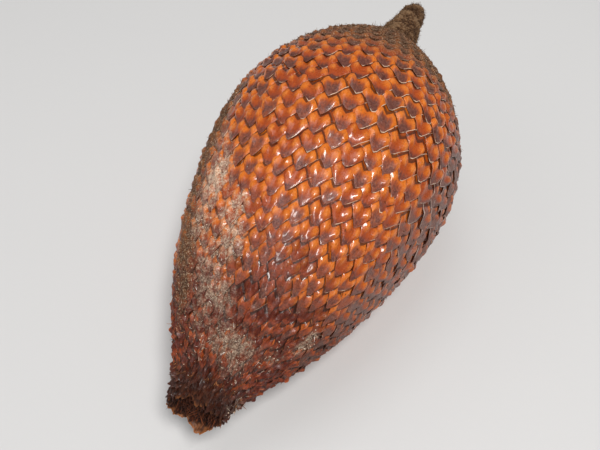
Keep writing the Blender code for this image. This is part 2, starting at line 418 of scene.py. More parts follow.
def scale_finish():
    """Glossy amber lobes, a matte plum tip and a cream margin, under dust and felt."""
    f = Finish("scale_skin")
    along = f.mark("along")
    aside = abs(f.mark("aside"))
    edge = f.mark("edge")
    luck = f.mark("luck")
    station = f.mark("station")
    dust = f.mark("dust")
    streaks = f.spots(1.0, 3.0, 0.6, f.along_the_scale(2.2, 9.0))
    blotches = f.spots(5.0, 3.0, 0.55)
    grains = f.spots(0.35, 3.0, 0.65)

    # lobes: amber, red-brown towards the narrow end
    # painted highlight: the lobes are painted lighter amber at their tops
    lobe_top_highlight = f.step(abs(aside - 0.36), 0.30, 0.04) * f.step(abs(along - 0.18), 0.42, 0.05)
    lobes = f.mix(f.step(blotches + 0.5 * luck + 0.35 * lobe_top_highlight, 0.50, 1.12), DEEP_AMBER, AMBER)
    lobes = f.mix(f.step(streaks + 0.25 * lobe_top_highlight, 0.60, 0.90, 0.0, 0.6), lobes, PALE_AMBER)
    narrow = f.step(station + 10.0 * (blotches - 0.5) + 5.0 * (luck - 0.5), 26.0, 12.0)
    strokes = f.step(streaks + 0.30 * luck, 0.72, 0.84)
    reds = f.mix(f.step(luck + 0.8 * (streaks - 0.5), 0.35, 1.0), RED_BROWN, RED_GLOW)
    lobes = f.mix(narrow * (1 - 0.40 * strokes), lobes, reds)

    # grey flanks: lobes darker, tips and rims grey, as the tips' bloom and a painted sheen of the
    # grazing view
    greyed = f.step(f.mark("greyed") + 0.5 * (blotches - 0.5), 0.15, 0.60)
    lobes = f.mix(greyed * 0.5, lobes, GREYED_LOBE)
    plum = f.mark("plum")
    lobes = f.mix(f.step(plum + 0.8 * (streaks - 0.5), 0.25, 0.80, 0.0, 0.75), lobes, PLUM_LOBE)

    # tips: how far they cover a scale, then their colour
    reach = f.step(along + 0.6 * (streaks - 0.5) + 0.60 * (luck - 0.5) + 0.5 * (blotches - 0.5)
                   + 0.15 * greyed + 0.25 * plum, 0.15, 0.80)
    wedge = f.step(aside + 0.40 * (streaks - 0.5) - 0.12 * greyed, 0.52, 0.24)
    foremost = f.step(along + 0.3 * (streaks - 0.5), 0.66, 0.86)
    foremost = foremost.at_least(f.step(edge + 0.3 * (streaks - 0.5), 0.42, 0.20) * greyed)
    tip = (reach * wedge).at_least(foremost)
    flecks = f.spots(0.22, 3.0, 0.7, None, 2.0)
    tips = f.mix(f.step(grains + 0.35 * luck, 0.50, 1.0, 0.0, 0.5), TIP_PLUM, TIP_BLOOM)
    tips = f.mix(f.step(flecks, 0.53, 0.64, 0.0, 0.75), tips, TIP_BLOOM)
    tips = f.mix(f.step(flecks, 0.48, 0.38, 0.0, 0.75), tips, TIP_DARK)
    upper = f.step(station + 6.0 * (blotches - 0.5), 37.0, 45.0)
    tips = f.mix(upper * 0.40, tips, TIP_DARK)
    # painted sheen: grey tips on the grey flanks
    tips = f.mix(greyed * 0.65, tips, TIP_GREY)
    tips = f.mix(narrow * 0.7, tips, DRY_BROWN)
    skin = f.mix(f.step(tip, 0.0, 0.6, 0.0, 0.75), lobes, TIP_ROSE)
    kept = f.step(f.spots(1.4, 3.0, 0.7, None, 8.0), 0.62, 0.42, 0.50, 1.0)
    kept = kept.at_least(greyed).at_least(upper)
    skin = f.mix(f.step(tip, 0.30, 1.0, 0.0, 0.94) * kept, skin, tips)
    skin = f.mix(f.step(grains, 0.56, 0.74, 0.0, 0.30), skin, PALE_AMBER)
    skin = f.mix(f.step(grains, 0.46, 0.34, 0.0, 0.35), skin, TIP_DARK)

    # painted shade in the gaps behind the neighbours and on the front walls, pale worn margins,
    # scales darker towards the torn end
    nook = f.mark("nook")
    # painted shade: each scale darkens just in front of the edges of the scales that lie over it
    gap_shade = f.step(nook - 0.07 * narrow - 0.05 * greyed - 0.03 * upper, 0.07, 0.0)
    gap_shade = gap_shade * f.step(nook, -0.26, -0.06, 0.15, 1.0)
    skin = f.mix(gap_shade * (0.80 + 0.12 * narrow), skin, SHADOW_BROWN)
    skin = f.mix(f.step(flecks, 0.47, 0.36) * narrow * 0.6, skin, SHADOW_BROWN)
    side = f.step(f.mark("aside"), -0.05, 0.06)
    chipped = f.mark("chipped")
    worn = f.step(f.spots(1.6, 2.0, 0.5, None, 4.0) + 0.30 * chipped, 0.55, 0.68)
    margin = f.step(edge, 0.055, 0.018) * f.step(edge, -0.045, -0.015)
    margin = margin * (0.12 + 0.88 * side.at_least(greyed)) * (0.08 + 0.92 * worn)
    # painted sheen: on the grey flanks the margins run pale grey on every side
    margin_colour = f.mix(greyed, MARGIN_CREAM, RIM_GREY)
    skin = f.mix(margin * (1 - 0.6 * narrow), skin, margin_colour)
    # painted shade: the front walls darken towards their lower edge, as the line of shadow under
    # each free margin
    skin = f.mix(f.step(edge, -0.030, -0.060), skin, SHADOW_BROWN)
    # the scales darken towards the torn end
    end_darkening = f.step(station + 3.0 * (flecks - 0.5) + 2.0 * (blotches - 0.5), 6.5, 2.8)
    skin = f.mix(end_darkening * 0.85, skin, SHADOW_BROWN)

    # dust, then felt
    powder = f.step(dust * (4.2 * f.spots(0.9, 5.0, 0.85) - 1.40), 0.20, 0.70)
    powder = powder * f.step(edge, -0.02, 0.03)
    powder_colour = f.mix(f.step(flecks, 0.42, 0.58), DUST_GREY, DUST_BEIGE)
    earth = f.mix(f.step(flecks, 0.44, 0.60), TIP_DARK, DUST_EARTH)
    powder_colour = f.mix(narrow * 0.7, powder_colour, earth)
    skin = f.mix(powder * 0.86, skin, powder_colour)

    hairy = f.mark("hairy") * (0.55 + 0.9 * (blotches - 0.3))
    hairy = f.step(hairy + 0.9 * (flecks - 0.5) + 0.5 * (grains - 0.5), 0.25, 0.55)
    drift = f.spots(14.0, 3.0, 0.6, None, 6.0)
    felt = f.step(station + 15.0 * (drift - 0.5) + 9.0 * (grains - 0.5), 52.5, 62.5)
    felt = felt.at_least(hairy)
    felt_colour = f.mix(f.step(grains, 0.38, 0.58), FELT_DARK, FELT_BROWN)
    # painted shade: the felt darkens under the edges of the scales over it
    felt_colour = f.mix(f.step(nook, 0.16, 0.0, 0.0, 0.7), felt_colour, FELT_DARK)
    felt_colour = f.mix(f.step(flecks, 0.52, 0.66, 0.0, 0.9), felt_colour, FELT_STRAW)
    skin = f.mix(felt * 0.88, skin, felt_colour)

    dry = powder.at_least(felt)
    roughness = 0.27 + 0.14 * tip + 0.45 * dry + 0.10 * narrow
    relief = f.bump(streaks + 0.7 * grains + 0.5 * flecks, 0.11, 1.0)
    return f.surface({
        "Base Color": skin,
        "Roughness": roughness.at_most(0.92) + 0.16 * (grains - 0.5),
        "Coat Weight": 0.62 * (1 - tip * 0.6) * (1 - dry) * (1 - 0.90 * narrow),
        "Coat Roughness": 0.15,
        "Specular IOR Level": 0.22,
        "Normal": relief,
    })


def underskin_finish():
    f = Finish("under_skin")
    fibres = f.spots(0.8, 4.0, 0.7)
    # painted shade: the skin is seen only in the gaps between scales and is coloured dark brown
    # for their shade
    colour = f.mix(f.step(fibres, 0.35, 0.7), SHADOW_BROWN, DRY_BROWN)
    return f.surface({"Base Color": colour, "Roughness": 0.75 + 0.2 * fibres,
                      "Normal": f.bump(fibres, 0.12)})


def felt_finish():
    """Short dry felt of the beak, darker round the blunt tip; its colour follows the relief, as
    painted shade in its dents and painted light on its tufts.
    """
    f = Finish("beak_felt")
    tufts = f.spots(0.40, 4.0, 0.7)
    clumps = f.spots(1.5, 3.0, 0.65)
    # painted shade and light: the colour follows the height of the tufts, dark in the dents and
    # pale on top
    grown = f.mark("grown") + 0.9 * (tufts - 0.5)
    colour = f.mix(f.step(grown, 0.20, 0.52), FELT_DARK, FELT_BROWN)
    colour = f.mix(f.step(grown + 0.6 * (clumps - 0.5), 0.40, 0.72), colour, FELT_PALE)
    colour = f.mix(f.step(tufts, 0.60, 0.72, 0.0, 0.6), colour, FELT_STRAW)
    band = f.step(abs(f.mark("station") + 1.2 * (clumps - 0.5) - 86.3), 1.3, 0.3)
    colour = f.mix(band * 0.6, colour, FELT_DARK)
    return f.surface({"Base Color": colour, "Roughness": 0.86 + 0.12 * tufts,
                      "Specular IOR Level": 0.2,
                      "Normal": f.bump(tufts, 0.25)})


def fibre_finish(name, root, tip, odd, roughness, gloss=0.4):
    """Fibres that pale from root to tip, with some of an odd colour."""
    f = Finish(name)
    colour = f.mix(f.mark("along"), root, tip)
    colour = f.mix(f.step(f.mark("luck"), 0.72, 0.86), colour, odd)
    grains = f.spots(0.25, 2.0, 0.6)
    return f.surface({"Base Color": f.mix(f.step(grains, 0.4, 0.7, 0.0, 0.3), colour, odd),
                      "Roughness": roughness + 0.15 * grains,
                      "Specular IOR Level": gloss, "Normal": f.bump(grains, 0.02)})


def cup_finish():
    """Dry torn stalk: red-brown folds outside; inside painted nearly black as the shade of the
    hollow.
    """
    f = Finish("torn_stalk")
    folds = f.spots(0.7, 4.0, 0.7)
    inside = f.mark("inside")
    outer = f.mix(f.step(folds, 0.35, 0.68), STALK_DARK, STALK_RED)
    # painted shade: the inside of the cup is near black for the depth of the hollow
    inner = f.mix(f.step(folds, 0.40, 0.75), HOLLOW_SHADE_BLACK, HOLLOW_SHADE_BROWN)
    rim = f.step(abs(inside - 0.45), 0.10, 0.02)
    colour = f.mix(f.step(inside, 0.40, 0.62), outer, inner)
    colour = f.mix(rim * f.step(folds, 0.4, 0.6) * 0.6, colour, PAPER_AMBER)
    return f.surface({"Base Color": colour, "Roughness": 0.62 + 0.3 * folds,
                      "Specular IOR Level": 0.15, "Normal": f.bump(folds, 0.3)})


def paper_finish():
    """Papery calyx: thin amber-brown sheet with darker veins and a pale torn edge."""
    f = Finish("calyx_paper")
    veins = f.spots(1.0, 3.0, 0.6, f.node(
        "ShaderNodeCombineXYZ", {},
        {"X": f.mark("aside") * 26.0, "Y": f.mark("along") * 2.0, "Z": 0.0}))
    grains = f.spots(0.4, 3.0, 0.6)
    colour = f.mix(f.step(veins, 0.38, 0.62), PAPER_DARK, PAPER_AMBER)
    colour = f.mix(f.step(f.mark("along"), 0.84, 1.0, 0.0, 0.30), colour, PALE_AMBER)
    colour = f.mix(f.step(grains, 0.5, 0.75, 0.0, 0.4), colour, DRY_BROWN)
    return f.surface({"Base Color": colour, "Roughness": 0.42 + 0.3 * grains,
                      "Normal": f.bump(veins + 0.4 * grains, 0.15)})


def crumb_finish():
    f = Finish("dust_crumbs")
    grains = f.spots(0.12, 2.0, 0.6)
    colour = f.mix(f.mark("luck"), DUST_GREY, DUST_BEIGE)
    colour = f.mix(f.step(f.mark("luck"), 0.90, 0.98), colour, CRUMB_PALE)
    return f.surface({"Base Color": f.mix(f.step(grains, 0.4, 0.7, 0.0, 0.4), colour, DUST_GREY),
                      "Roughness": 0.85 + 0.1 * grains, "Normal": f.bump(grains, 0.04)})


def floor_finish():
    f = Finish("pale_floor")
    mottle = f.spots(60.0, 2.0, 0.5)
    colour = f.mix(mottle * 0.25, FLOOR_PALE, FLOOR_MOTTLE)
    return f.surface({"Base Color": colour, "Roughness": 0.8,
                      "Normal": f.bump(f.spots(1.2, 2.0, 0.5), 0.02)})


# ---- making pieces
def make_piece(name, points, faces, material, node, marks, crease=math.radians(42)):
    """Make a mesh piece from points in millimetres, and tie it to the frame."""
    mesh = bpy.data.meshes.new(name)
    mesh.from_pydata((points.reshape(-1, 3) * MM).tolist(), [], faces)
    mesh.shade_smooth()
    mesh.set_sharp_from_angle(angle=crease)
    for mark, values in marks.items():
        layer = mesh.attributes.new(mark, "FLOAT", "POINT")
        layer.data.foreach_set("value", np.ascontiguousarray(values, dtype=np.float32).ravel())
    mesh.materials.append(material)
    mesh.validate()
    piece = bpy.data.objects.new(name, mesh)
    bpy.context.collection.objects.link(piece)
    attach(piece, "root")
    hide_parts(node)
    return piece


def repeated(faces, corners, count):
    """The faces of one shape, repeated for many copies of its corners."""
    return [[corner + corners * n for corner in face] for n in range(count) for face in faces]


# ---- scales
def plate_faces():
    """Faces of one closed plate: fine top, front and back walls, coarse underside."""
    wide = PLATE_COLUMNS + 1
    front = wide * (PLATE_ROWS + 1)
    back = front + wide
    top = [[r * wide + c, (r + 1) * wide + c, (r + 1) * wide + c + 1, r * wide + c + 1]
           for r in range(PLATE_ROWS) for c in range(PLATE_COLUMNS)]
    rim = PLATE_ROWS * wide
    walls = [[rim + c, front + c, front + c + 1, rim + c + 1] for c in range(PLATE_COLUMNS)]
    walls += [[c + 1, back + c + 1, back + c, c] for c in range(PLATE_COLUMNS)]
    under = [[front + c, back + c, back + c + 1, front + c + 1] for c in range(PLATE_COLUMNS)]
    left = [r * wide for r in range(PLATE_ROWS, -1, -1)] + [back, front]
    right = [r * wide + PLATE_COLUMNS for r in range(PLATE_ROWS + 1)]
    right += [front + PLATE_COLUMNS, back + PLATE_COLUMNS]
    return top, walls, under + [left, right]


def front_edge(across, reach, blunt=TIP_BLUNT):
    """How far the front edge of a scale lies ahead of its middle."""
    off = np.sqrt(across**2 + blunt**2)
    return reach * np.maximum(1 - off, 0.0)**TIP_SHAPE


def plates(station, angle, rng):
    """Points and marks of many plates, each (plates, corners)."""
    count = len(station)
    length = scale_length(station)[:, None, None]
    narrow = fade(station, *NARROW_END)[:, None, None]
    luck = rng.random(count)

    def vary(spread):
        return (rng.uniform(-spread, spread, count))[:, None, None] * (1 + 1.3 * narrow)

    torn = fade(station, *TORN_END)
    broken = (torn * (0.35 + 0.65 * rng.random(count)))[:, None, None]
    reach = TIP_REACH * (1 + vary(0.11)) * (1 - 0.62 * broken)
    skew = vary(0.20)
    rise = PLATE_RISE * (1 + vary(0.20))
    lift = 0.12 * np.abs(vary(1.0)) * rng.random(count)[:, None, None] * (1 - broken)
    lobe = LOBE_HEIGHT * (1 + vary(0.30)) * (1 + 0.25 * narrow)
    weathered = patches_at(GREY_FLANKS, station, angle)[:, None, None]
    curl = vary(0.5)
    lopsided = vary(0.35)
    waves = [(rng.uniform(0, 2 * math.pi, count))[:, None, None] for _ in range(3)]

    across = np.linspace(-PLATE_HALF_WIDTH, PLATE_HALF_WIDTH, PLATE_COLUMNS + 1)[None, None, :]
    rows = (1 - (1 - np.linspace(0, 1, PLATE_ROWS + 1))**1.6)[None, :, None]
    frayed = 1 + 1.6 * narrow
    ripple = (EDGE_RIPPLE * np.sin(6 * across + waves[0])
              + FINE_RIPPLE * np.sin(14 * across + waves[1]))
    front = front_edge(across, reach, TIP_BLUNT * (1 + 3 * broken)) * (1 + frayed * ripple)
    back = -BACK_REACH + BACK_CURVE * np.abs(across)**1.8
    along = back + (front - back) * rows
    edge = front - along
    lobes = np.exp(-((np.abs(across) - LOBE_AT[0]) / LOBE_SPREAD[0])**2
                   - ((along - LOBE_AT[1]) / LOBE_SPREAD[1])**2)
    lobes = lobes * (1 + lopsided * np.sign(across))
    groove = np.exp(-(across / GROOVE_WIDTH)**2) * np.clip(along, 0, 1)
    height = rise * (along + BACK_REACH) + lobe * lobes - GROOVE_DEPTH * groove
    height = height + lift * np.maximum(along - 0.5, 0)**2 * (1 + curl * across)
    frill = np.exp(-(edge / FRILL_DEPTH)**2) * (0.7 + np.sin(9 * across + waves[2]))
    height = height + FRILL_HEIGHT * weathered * frill
    height = height - ROLL_OFF * np.exp(-(edge / ROLL_OFF_DEPTH)**2)
    height = height - SIDE_DROP * np.maximum(np.abs(across) - 0.5, 0)
    # how far a point lies in front of the edges of the scales over it; the finish paints shade
    # where this is small
    behind = np.maximum(front_edge(across, TIP_REACH) - 1,
                        front_edge(1 - np.abs(across), TIP_REACH) - 0.5)
    nook = along - behind
    across = across + skew * np.maximum(along, 0.0) + 0 * along

    def with_underside(values, front_step=0.0, back_step=0.0):
        """Rows of the top, then the lower rows of the front and back walls."""
        return np.concatenate([values, values[:, -1:] - front_step,
                               values[:, :1] - back_step], axis=1)

    along_all = with_underside(along, 0.035)
    height_all = with_underside(height, PLATE_THICKNESS * 1.25, PLATE_THICKNESS)
    across_all = with_underside(across)
    edge_all = with_underside(edge, 0.08)
    nook_all = with_underside(nook)

    start = station[:, None, None]
    at = walk(start, along_all * length)
    turned = angle[:, None, None] + SCALE_TURN * (at - start) + across_all * HALF_PITCH
    bare = on_skin(at, turned)
    lumps = LUMPS * wander(bare, 0.85, 14) + FINE_LUMPS * wander(bare, 0.34, 15)
    lumps = lumps * (1 + 1.5 * narrow) + NARROW_LUMPS * (wander(bare, 2.6, 16) * narrow)
    lowered = SUNK_BY * fade(at, *SUNK_END)
    points = on_skin(at, turned, (height_all + lumps) * length - bed_depth(start) - lowered)
    marks = {
        "along": along_all, "aside": across_all, "edge": edge_all, "station": at,
        "luck": luck[:, None, None] + 0 * at, "nook": nook_all,
    }
    marks.update({name: patches_at(patches, at, turned)
                  for name, patches in PATCH_MARKS.items()})
    return press_flat(points), marks


def add_bake_map(mesh, count, top, walls, rest):
    """Map that gives every scale its own square cell."""
    cells = math.ceil(math.sqrt(count))
    wide = PLATE_COLUMNS + 1
    grid = wide * (PLATE_ROWS + 1)

    def spot(corner, hidden):
        row, column = divmod(corner, wide)
        u = 0.05 + 0.9 * column / PLATE_COLUMNS
        if hidden:
            return u, (0.02 if corner >= grid + wide else 0.07)
        if corner >= grid:
            return u, (0.97 if corner < grid + wide else 0.08)
        return u, 0.12 + 0.78 * row / PLATE_ROWS

    one = [spot(c, False) for face in top + walls for c in face]
    one += [spot(c, True) for face in rest for c in face]
    one = np.array(one)
    cell = np.stack(np.divmod(np.arange(count), cells), axis=-1)
    every = (one[None] + cell[:, None, :]) / cells
    layer = mesh.uv_layers.new(name="OFBake")
    layer.data.foreach_set("uv", every.astype(np.float32).ravel())


def make_scales():
    """All rings of scales, in lengthwise strips."""
    stations = scale_stations()
    material = scale_finish()
    top, walls, rest = plate_faces()
    faces = top + walls + rest
    corners = (PLATE_COLUMNS + 1) * (PLATE_ROWS + 3)
    for strip in range(STRIPS):
        rng = np.random.default_rng(100 + strip)
        first = strip * SCALES_PER_RING // STRIPS
        last = (strip + 1) * SCALES_PER_RING // STRIPS
        station, angle = [], []
        for i, at in enumerate(stations):
            for j in range(first, last):
                station.append(at)
                angle.append((j + 0.5 + 0.5 * (i % 2)) * 2 * HALF_PITCH + SCALE_TURN * at)
        station, angle = np.array(station), np.array(angle)
        swell = on_skin(station, angle)
        shift = wander(swell, 9.0, 1)
        turn = wander(swell, 8.0, 2)
        station = station + 0.30 * shift * scale_length(station)
        angle = angle + 0.30 * turn * HALF_PITCH
        points, marks = plates(station, angle, rng)
        count = len(station)
        piece = make_piece(f"scales_{strip + 1}", points, repeated(faces, corners, count),
                           material, "fruit", marks)
        add_bake_map(piece.data, count, top, walls, rest)


def ring_faces(rings, sides):
    """Faces that join each ring of corners to the next."""
    faces = []
    for r in range(rings - 1):
        for c in range(sides):
            d = (c + 1) % sides
            faces.append([r * sides + c, r * sides + d, (r + 1) * sides + d, (r + 1) * sides + c])
    return faces


def lathe_faces(rings, sides):
    """Faces of rings joined into a skin, closed by a point at both ends."""
    faces = ring_faces(rings, sides)
    first, last = rings * sides, rings * sides + 1
    for c in range(sides):
        d = (c + 1) % sides
        faces.append([first, d, c])
        faces.append([last, (rings - 1) * sides + c, (rings - 1) * sides + d])
    return faces


def make_underskin():
    """Closed skin that the scales lie on, painted dark as the shade in the gaps between them."""
    sides = 96
    stations = np.concatenate([np.linspace(3.6, 12, 16), np.linspace(12.8, 77.0, 86)])[:, None]
    angles = np.linspace(0, 2 * math.pi, sides, endpoint=False)[None, :]
    points = on_skin(stations, angles, -bed_depth(stations) - 0.12)
    roughened = 0.06 * wander(points, 0.8, 3)
    points = on_skin(stations, angles, roughened - bed_depth(stations) - 0.12)
    ends = around(np.array([3.6, 77.2]), 0.0, 0.0)
    every = press_flat(np.concatenate([points.reshape(-1, 3), ends]))
    make_piece("under_skin", every, lathe_faces(len(stations), sides), underskin_finish(),
               "fruit", {})


# ---- beak
def make_beak():
    """Blunt felted beak with clumped tufts."""
    sides, rings = 110, 150
    way = np.linspace(0, 1, rings)
    stations = (BEAK_FOOT + (BEAK_TIP - BEAK_FOOT) * way)[:, None]
    angles = np.linspace(0, 2 * math.pi, sides, endpoint=False)[None, :]
    flat = on_skin(stations, angles)
    clumps = wander(flat, 1.5, 4)
    tufts = np.abs(wander(flat, 0.45, 5))
    grown = fade(stations, *BEAK_FREE)
    depth = -BEAK_TUCK * (1 - grown) + grown * (0.40 * clumps + 0.60 * tufts - 0.26)
    slim = fade(stations, BEAK_TIP, BEAK_TIP - BEAK_SLIM)
    points = on_skin(stations, angles, depth * (0.3 + 0.7 * slim))
    ends = around(np.array([BEAK_FOOT, BEAK_TIP + 0.15]), 0.0, 0.0)
    every = np.concatenate([points.reshape(-1, 3), ends])
    station_mark = np.concatenate([(stations + 0 * angles).ravel(), [BEAK_FOOT, BEAK_TIP]])
    # the height of the tufts, which the felt finish turns into painted shade and light
    grown_mark = np.concatenate([(0.25 + 0.45 * clumps + 0.9 * tufts).ravel(), [0.0, 0.6]])
    make_piece("beak", every, lathe_faces(rings, sides), felt_finish(), "fruit",
               {"station": station_mark, "grown": grown_mark})


# ---- fibres and crumbs
FIBRE_SIDES = 3
FIBRE_JOINTS = 4
FIBRE_LOWEST = 0.02             # no fibre goes lower than this
FORWARD = np.array([-1.0, 0.0, 0.0])    # towards the narrow end


def make_fibres(name, roots, lean, bend, length, radius, luck, material, node,
                flatness=1.0):
    """Tapered fibres: each starts at a root, leans one way and bends another."""
    count = len(roots)
    t = (np.arange(FIBRE_JOINTS) / FIBRE_JOINTS)[None, :, None]
    lean = lean / np.linalg.norm(lean, axis=-1, keepdims=True)
    reach = length[:, None, None]
    spine = roots[:, None] + reach * (lean[:, None] * t + bend[:, None] * t**2)
    run = lean[:, None] + 2 * bend[:, None] * t
    run = run / np.linalg.norm(run, axis=-1, keepdims=True)
    helper = np.array([0.3, 0.5, 0.81])
    side = np.cross(run, helper)
    side = side / np.linalg.norm(side, axis=-1, keepdims=True)
    other = np.cross(run, side)
    turn = (2 * math.pi * np.arange(FIBRE_SIDES) / FIBRE_SIDES)[None, None, :, None]
    thick = radius[:, None, None, None] * (1 - 0.75 * t[..., None])
    ring = side[:, :, None] * np.cos(turn) + other[:, :, None] * np.sin(turn) * flatness
    points = (spine[:, :, None] + thick * ring).reshape(count, -1, 3)
    tips = roots + length[:, None] * (lean + bend)
    points = np.concatenate([points, tips[:, None]], axis=1)
    faces = [[FIBRE_SIDES - 1 - c for c in range(FIBRE_SIDES)]]
    faces += ring_faces(FIBRE_JOINTS, FIBRE_SIDES)
    tip = FIBRE_JOINTS * FIBRE_SIDES
    for c in range(FIBRE_SIDES):
        faces.append([tip - FIBRE_SIDES + c, tip - FIBRE_SIDES + (c + 1) % FIBRE_SIDES, tip])
    along = np.concatenate([np.repeat(np.arange(FIBRE_JOINTS) / FIBRE_JOINTS, FIBRE_SIDES), [1.0]])
    marks = {"along": np.tile(along, (count, 1)),
             "luck": np.repeat(luck[:, None], tip + 1, axis=1)}
    points[..., 2] = np.maximum(points[..., 2], FIBRE_LOWEST)
    return make_piece(name, points, repeated(faces, tip + 1, count), material, node, marks)


def make_skin_fibres(name, rng, roots, lean, bend, lengths, radii, material):
    """Fibres of the skin, with lengths and radii drawn between two limits."""
    count = len(roots)
    length = rng.uniform(*lengths, count)
    radius = rng.uniform(*radii, count)
    make_fibres(name, roots, lean, bend, length, radius, rng.random(count), material,
                "fruit")


def make_beak_hairs():
    rng = np.random.default_rng(21)
    count = 3600
    station = 68.5 + 21.0 * rng.random(count)**0.9
    station = np.minimum(station, BEAK_TIP - 0.05)
    angle = rng.uniform(0, 2 * math.pi, count)
    roots = on_skin(station, angle, -0.15)
    out = outward(station, angle)
    lean = out * rng.uniform(0.4, 1.0, count)[:, None] + rng.normal(0, 0.55, (count, 3))
    bend = rng.normal(0, 0.28, (count, 3)) - 0.25 * out
    make_skin_fibres("beak_hairs", rng, roots, lean, bend, (0.35, 0.85), (0.028, 0.055),
                     fibre_finish("beak_hair", FELT_DARK, FELT_BROWN, FELT_PALE, 0.8))


def make_shoulder_felt():
    """Short felt that spreads from the foot of the beak over the last rings of scales."""
    rng = np.random.default_rng(25)
    count = 16000
    station = rng.uniform(12.0, 73.0, count)
    angle = rng.uniform(0, 2 * math.pi, count)
    cover = fade(station, *SHOULDER_FELT)
    cover = np.maximum(cover, 0.55 * patches_at(HAIRY_FLANKS, station, angle)**2)
    clumps = 0.75 + 1.3 * wander(on_skin(station, angle), 1.3, 17)
    keep = rng.random(count) < cover * clumps
    station, angle = station[keep], angle[keep]
    count = len(station)
    roots = on_skin(station, angle, -0.12)
    out = outward(station, angle)
    lean = 0.55 * out + rng.normal(0, 0.6, (count, 3))
    bend = rng.normal(0, 0.3, (count, 3)) - 0.2 * out
    make_skin_fibres("shoulder_felt", rng, roots, lean, bend, (0.3, 0.75), (0.035, 0.075),
                     fibre_finish("shoulder_hair", FELT_DARK, FELT_BROWN, FELT_PALE, 0.75))


def make_bristles():
    """Stiff broken bristles between the scales, thickest towards the narrow end."""
    rng = np.random.default_rng(22)
    count = 900
    station = 3.8 + 56.0 * rng.random(count)**2.6
    angle = rng.uniform(0, 2 * math.pi, count)
    roots = on_skin(station, angle, -0.25)
    out = outward(station, angle)
    lean = 0.55 * out + FORWARD * 0.9 + rng.normal(0, 0.35, (count, 3))
    bend = rng.normal(0, 0.22, (count, 3))
    make_skin_fibres("bristles", rng, roots, lean, bend, (0.3, 0.9), (0.05, 0.11),
                     fibre_finish("bristle", SHADOW_BROWN, BRISTLE_TIP, BRISTLE_ODD, 0.6, 0.2))


def dusty_places(rng, tries):
    """Random places on the skin, kept more often where it is dusty."""
    station = rng.uniform(1.6, 62.0, tries)
    angle = rng.uniform(0, 2 * math.pi, tries)
    keep = rng.random(tries) < patches_at(DUST_PATCHES, station, angle)**1.6
    return station[keep], angle[keep]


def make_dust_threads():
    """Pale threads that lie on the dusty patches."""
    rng = np.random.default_rng(23)
    station, angle = dusty_places(rng, 9000)
    count = len(station)
    roots = on_skin(station, angle, 0.05)
    out = outward(station, angle)
    lean = rng.normal(0, 1.0, (count, 3))
    lean -= out * np.sum(lean * out, axis=1, keepdims=True)
    lean += 0.2 * out
    bend = rng.normal(0, 0.2, (count, 3))
    make_skin_fibres("dust_threads", rng, roots, lean, bend, (0.25, 0.7), (0.022, 0.048),
                     fibre_finish("dust_thread", DUST_GREY, DUST_BEIGE, THREAD_PALE, 0.7))


def crumb_shape():
    """Corners and faces of a twenty-sided crumb."""
    g = (1 + math.sqrt(5)) / 2
    corners = [(-1, g, 0), (1, g, 0), (-1, -g, 0), (1, -g, 0), (0, -1, g), (0, 1, g),
               (0, -1, -g), (0, 1, -g), (g, 0, -1), (g, 0, 1), (-g, 0, -1), (-g, 0, 1)]
    faces = [[0, 11, 5], [0, 5, 1], [0, 1, 7], [0, 7, 10], [0, 10, 11], [1, 5, 9], [5, 11, 4],
             [11, 10, 2], [10, 7, 6], [7, 1, 8], [3, 9, 4], [3, 4, 2], [3, 2, 6], [3, 6, 8],
             [3, 8, 9], [4, 9, 5], [2, 4, 11], [6, 2, 10], [8, 6, 7], [9, 8, 1]]
    return np.array(corners) / math.hypot(1, g), faces


def make_crumbs():
    """Grains of dry dust caught on the scales."""
    rng = np.random.default_rng(24)
    station, angle = dusty_places(rng, 14000)
    count = len(station)
    shape, faces = crumb_shape()
    size = 0.035 + 0.10 * rng.random(count)**2.5
    places = on_skin(station, angle, rng.uniform(-0.15, 0.12, count))
    lumps = rng.uniform(0.6, 1.3, (count, 12, 1))
    points = press_flat(places[:, None] + size[:, None, None] * lumps * shape[None])
    make_piece("crumbs", points, repeated(faces, 12, count), crumb_finish(), "fruit",
               {"luck": np.repeat(rng.random(count)[:, None], 12, axis=1)})


# ---- torn stalk
# share of the way, station, radius, how much the tears move it
CUP_PROFILE = np.array([
    (0.0, 4.1, 3.9, 0.0), (0.06, 3.6, 4.15, 0.0), (0.14, 3.0, 4.2, 0.1), (0.22, 2.3, 4.1, 0.3),
    (0.30, 1.6, 4.0, 0.6), (0.38, 1.0, 3.9, 0.9), (0.43, 0.75, 3.85, 1.0), (0.47, 0.75, 3.7, 1.0),
    (0.52, 1.0, 3.6, 0.8), (0.60, 1.5, 3.45, 0.5), (0.70, 2.1, 2.9, 0.3), (0.80, 2.5, 2.1, 0.2),
    (0.90, 2.5, 1.2, 0.2), (1.0, 2.4, 0.5, 0.1),
])


def make_stub_cup():
    """Ragged cup of the torn stalk, folded inside and painted dark there as the shade of the
    hollow.
    """
    sides = 150
    angles = np.linspace(0, 2 * math.pi, sides, endpoint=False)
    circle = np.stack([np.cos(angles), np.sin(angles), 0 * angles], axis=-1)
    tears = 0.75 * wander(circle * 4.0, 0.8, 6) + 0.45 * wander(circle * 4.0, 0.25, 7)
    folds = wander(circle * 4.0, 0.45, 8)
    way = np.linspace(0, 1, 44)
    station, radius, torn = [np.interp(way, CUP_PROFILE[:, 0], CUP_PROFILE[:, k])[:, None]
                             for k in (1, 2, 3)]
    station = station + torn * tears[None]
    inner = fade(way, 0.5, 0.8)[:, None]
    radius = radius + (0.16 + 0.30 * inner) * folds[None] * np.minimum(1.0, radius / 1.6)
    points = around(station, angles[None], radius)
    rough = wander(points, 0.6, 9)[..., None] * (0.10 + 0.25 * inner[..., None])
    points = points + rough * np.array([1.0, 0.5, 0.5])
    ends = around(np.array([4.1, 2.3]), 0.0, 0.0)
    every = np.concatenate([points.reshape(-1, 3), ends])
    faces = [face[::-1] for face in lathe_faces(len(way), sides)]
    inside = np.concatenate([np.repeat(way, sides), [0.0, 1.0]])
    make_piece("stub_cup", every, faces, cup_finish(), "stalk_stub",
               {"inside": inside})


